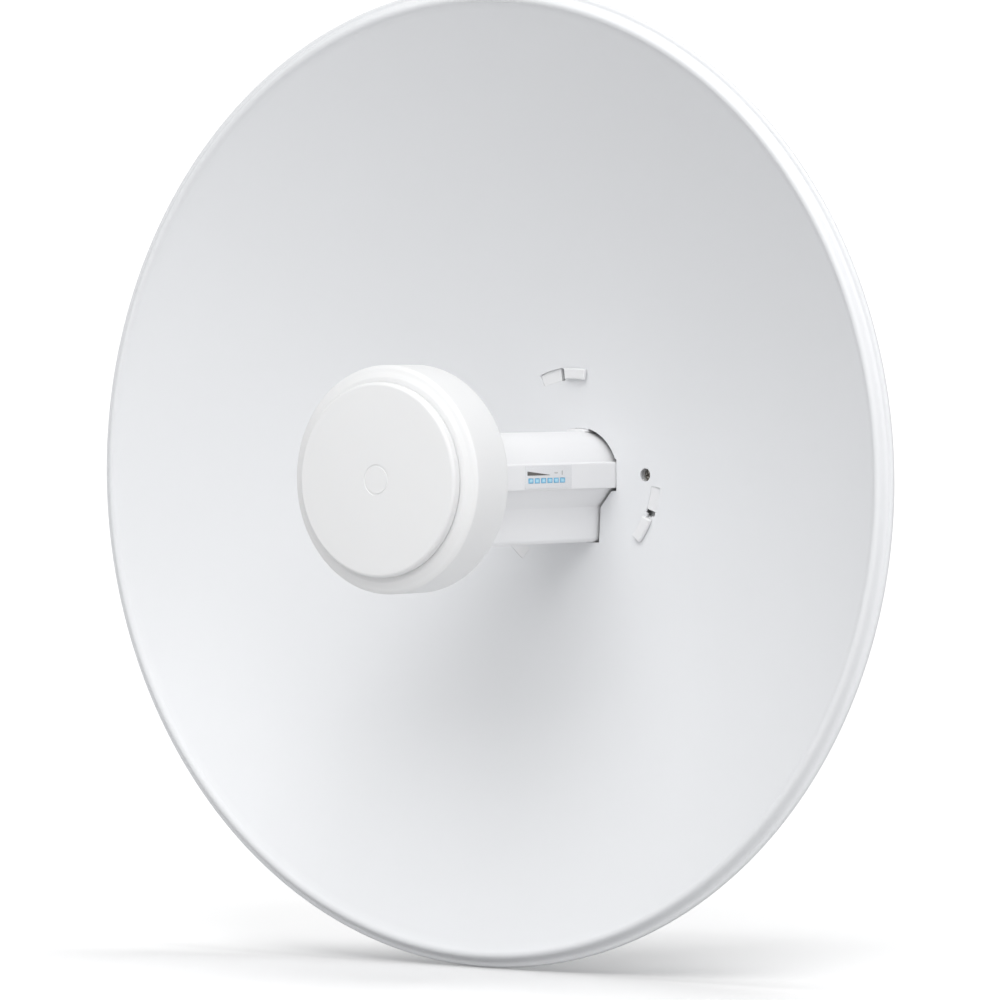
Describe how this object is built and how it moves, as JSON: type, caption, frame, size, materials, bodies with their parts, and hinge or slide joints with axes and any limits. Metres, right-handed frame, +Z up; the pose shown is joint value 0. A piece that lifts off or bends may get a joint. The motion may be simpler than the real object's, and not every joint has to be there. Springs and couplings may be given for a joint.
{
  "type": "outdoor wireless bridge",
  "caption": "Round parabolic dish with a radio feed on a tube at its centre, a plastic hub behind it, and a tilting bracket with a U-bolt that clamps a pole.",
  "frame": {"origin": "vertex of the dish, its front surface on the dish axis, which is the middle of the bounding box to within 1 mm", "axes": "-Y the way the dish looks, +Z up, +X to the right of somebody looking at the front"},
  "size_m": [0.42, 0.2865, 0.42],
  "materials": {
    "white_paint": "gloss",
    "white_plastic": "satin",
    "steel": "satin",
    "cast_bracket": "matte",
    "rubber": "matte",
    "grey_plastic": "matte",
    "circuit_board": "satin",
    "copper": "satin",
    "tin_plate": "satin",
    "chip": "matte",
    "light_window": "gloss",
    "label": "satin"
  },
  "bodies": {
    "pole_mount": {"pole_bracket": "cast_bracket", "pole_saddle": "cast_bracket", "pivot_bolt": "steel", "pivot_nut": "steel", "u_washer_left": "steel", "u_washer_right": "steel"},
    "u_bolt_clamp": {"u_bolt": "steel"},
    "nut_left": {"u_nut_left": "steel"},
    "nut_right": {"u_nut_right": "steel"},
    "dish_hub": {"dish": "white_paint", "rear_housing": "white_plastic", "latch_spring": "steel", "lock_screw": "steel", "tilt_lock_bolt": "steel"},
    "lock_washer": {"tilt_lock_washer": "steel"},
    "lock_nut": {"tilt_lock_nut": "steel"},
    "latch": {"release_latch": "grey_plastic"},
    "feed": {"feed_tube": "white_plastic", "drum_shell": "white_plastic", "front_cover": "white_plastic", "cover_seal": "rubber", "reflector_disc": "tin_plate", "antenna_board": "circuit_board", "patch_plate": "copper", "patch_spacer": "grey_plastic", "standoff_1": "tin_plate", "standoff_2": "tin_plate", "standoff_3": "tin_plate", "standoff_4": "tin_plate", "coax_left": "copper", "coax_right": "copper", "main_board": "circuit_board", "shield_can": "tin_plate", "processor": "chip", "memory": "chip", "magnetics": "chip", "jack": "tin_plate", "jack_seal": "rubber", "light_pipe": "light_window", "status_label": "label"},
    "reset": {"reset_button": "grey_plastic"},
    "cover": {"port_cover": "white_plastic", "cable_grommet": "rubber"}
  },
  "joints": [
    {"name": "tilt", "type": "hinge", "parent": "pole_mount", "child": "dish_hub", "pos_m": [0, 0.07, 0], "axis": [1, 0, 0], "range_deg": [-20, 20]},
    {"name": "feed_slide", "type": "slide", "parent": "dish_hub", "child": "feed", "axis": [0, -1, 0], "range_m": [0, 0.046]},
    {"name": "reset_press", "type": "slide", "parent": "feed", "child": "reset", "axis": [0, 0, 1], "range_m": [0, 0.0008]},
    {"name": "latch_press", "type": "slide", "parent": "dish_hub", "child": "latch", "axis": [0, 0, -1], "range_m": [0, 0.003], "stiffness_N_per_m": 900, "springref_m": -0.002, "deforming": ["latch_spring"]},
    {"name": "port_cover_slide", "type": "slide", "parent": "dish_hub", "child": "cover", "axis": [0, 0, -1], "range_m": [0, 0.03]},
    {"name": "u_bolt_slide", "type": "slide", "parent": "pole_mount", "child": "u_bolt_clamp", "axis": [0, 1, 0], "range_m": [-0.0096, 0.0093]},
    {"name": "nut_left_turn", "type": "hinge", "parent": "pole_mount", "child": "nut_left", "pos_m": [-0.029, 0.0785, 0], "axis": [0, -1, 0], "range_deg": [-2764.9, 2678.5]},
    {"name": "nut_right_turn", "type": "hinge", "parent": "pole_mount", "child": "nut_right", "pos_m": [0.029, 0.0785, 0], "axis": [0, -1, 0], "range_deg": [-2764.9, 2678.5]},
    {"name": "lock_nut_slide", "type": "slide", "parent": "dish_hub", "child": "lock_washer", "axis": [-1, 0, 0], "range_m": [0, 0.002]},
    {"name": "lock_nut_turn", "type": "hinge", "parent": "lock_washer", "child": "lock_nut", "pos_m": [-0.0169, 0.07, -0.02], "axis": [-1, 0, 0], "range_deg": [0, 720.1]}
  ],
  "couplings": [
    {"joint": "nut_left_turn", "follows": "u_bolt_slide", "rad_per_m": 5026.5},
    {"joint": "nut_right_turn", "follows": "u_bolt_slide", "rad_per_m": 5026.5},
    {"joint": "lock_nut_turn", "follows": "lock_nut_slide", "rad_per_m": 6283.2}
  ]
}
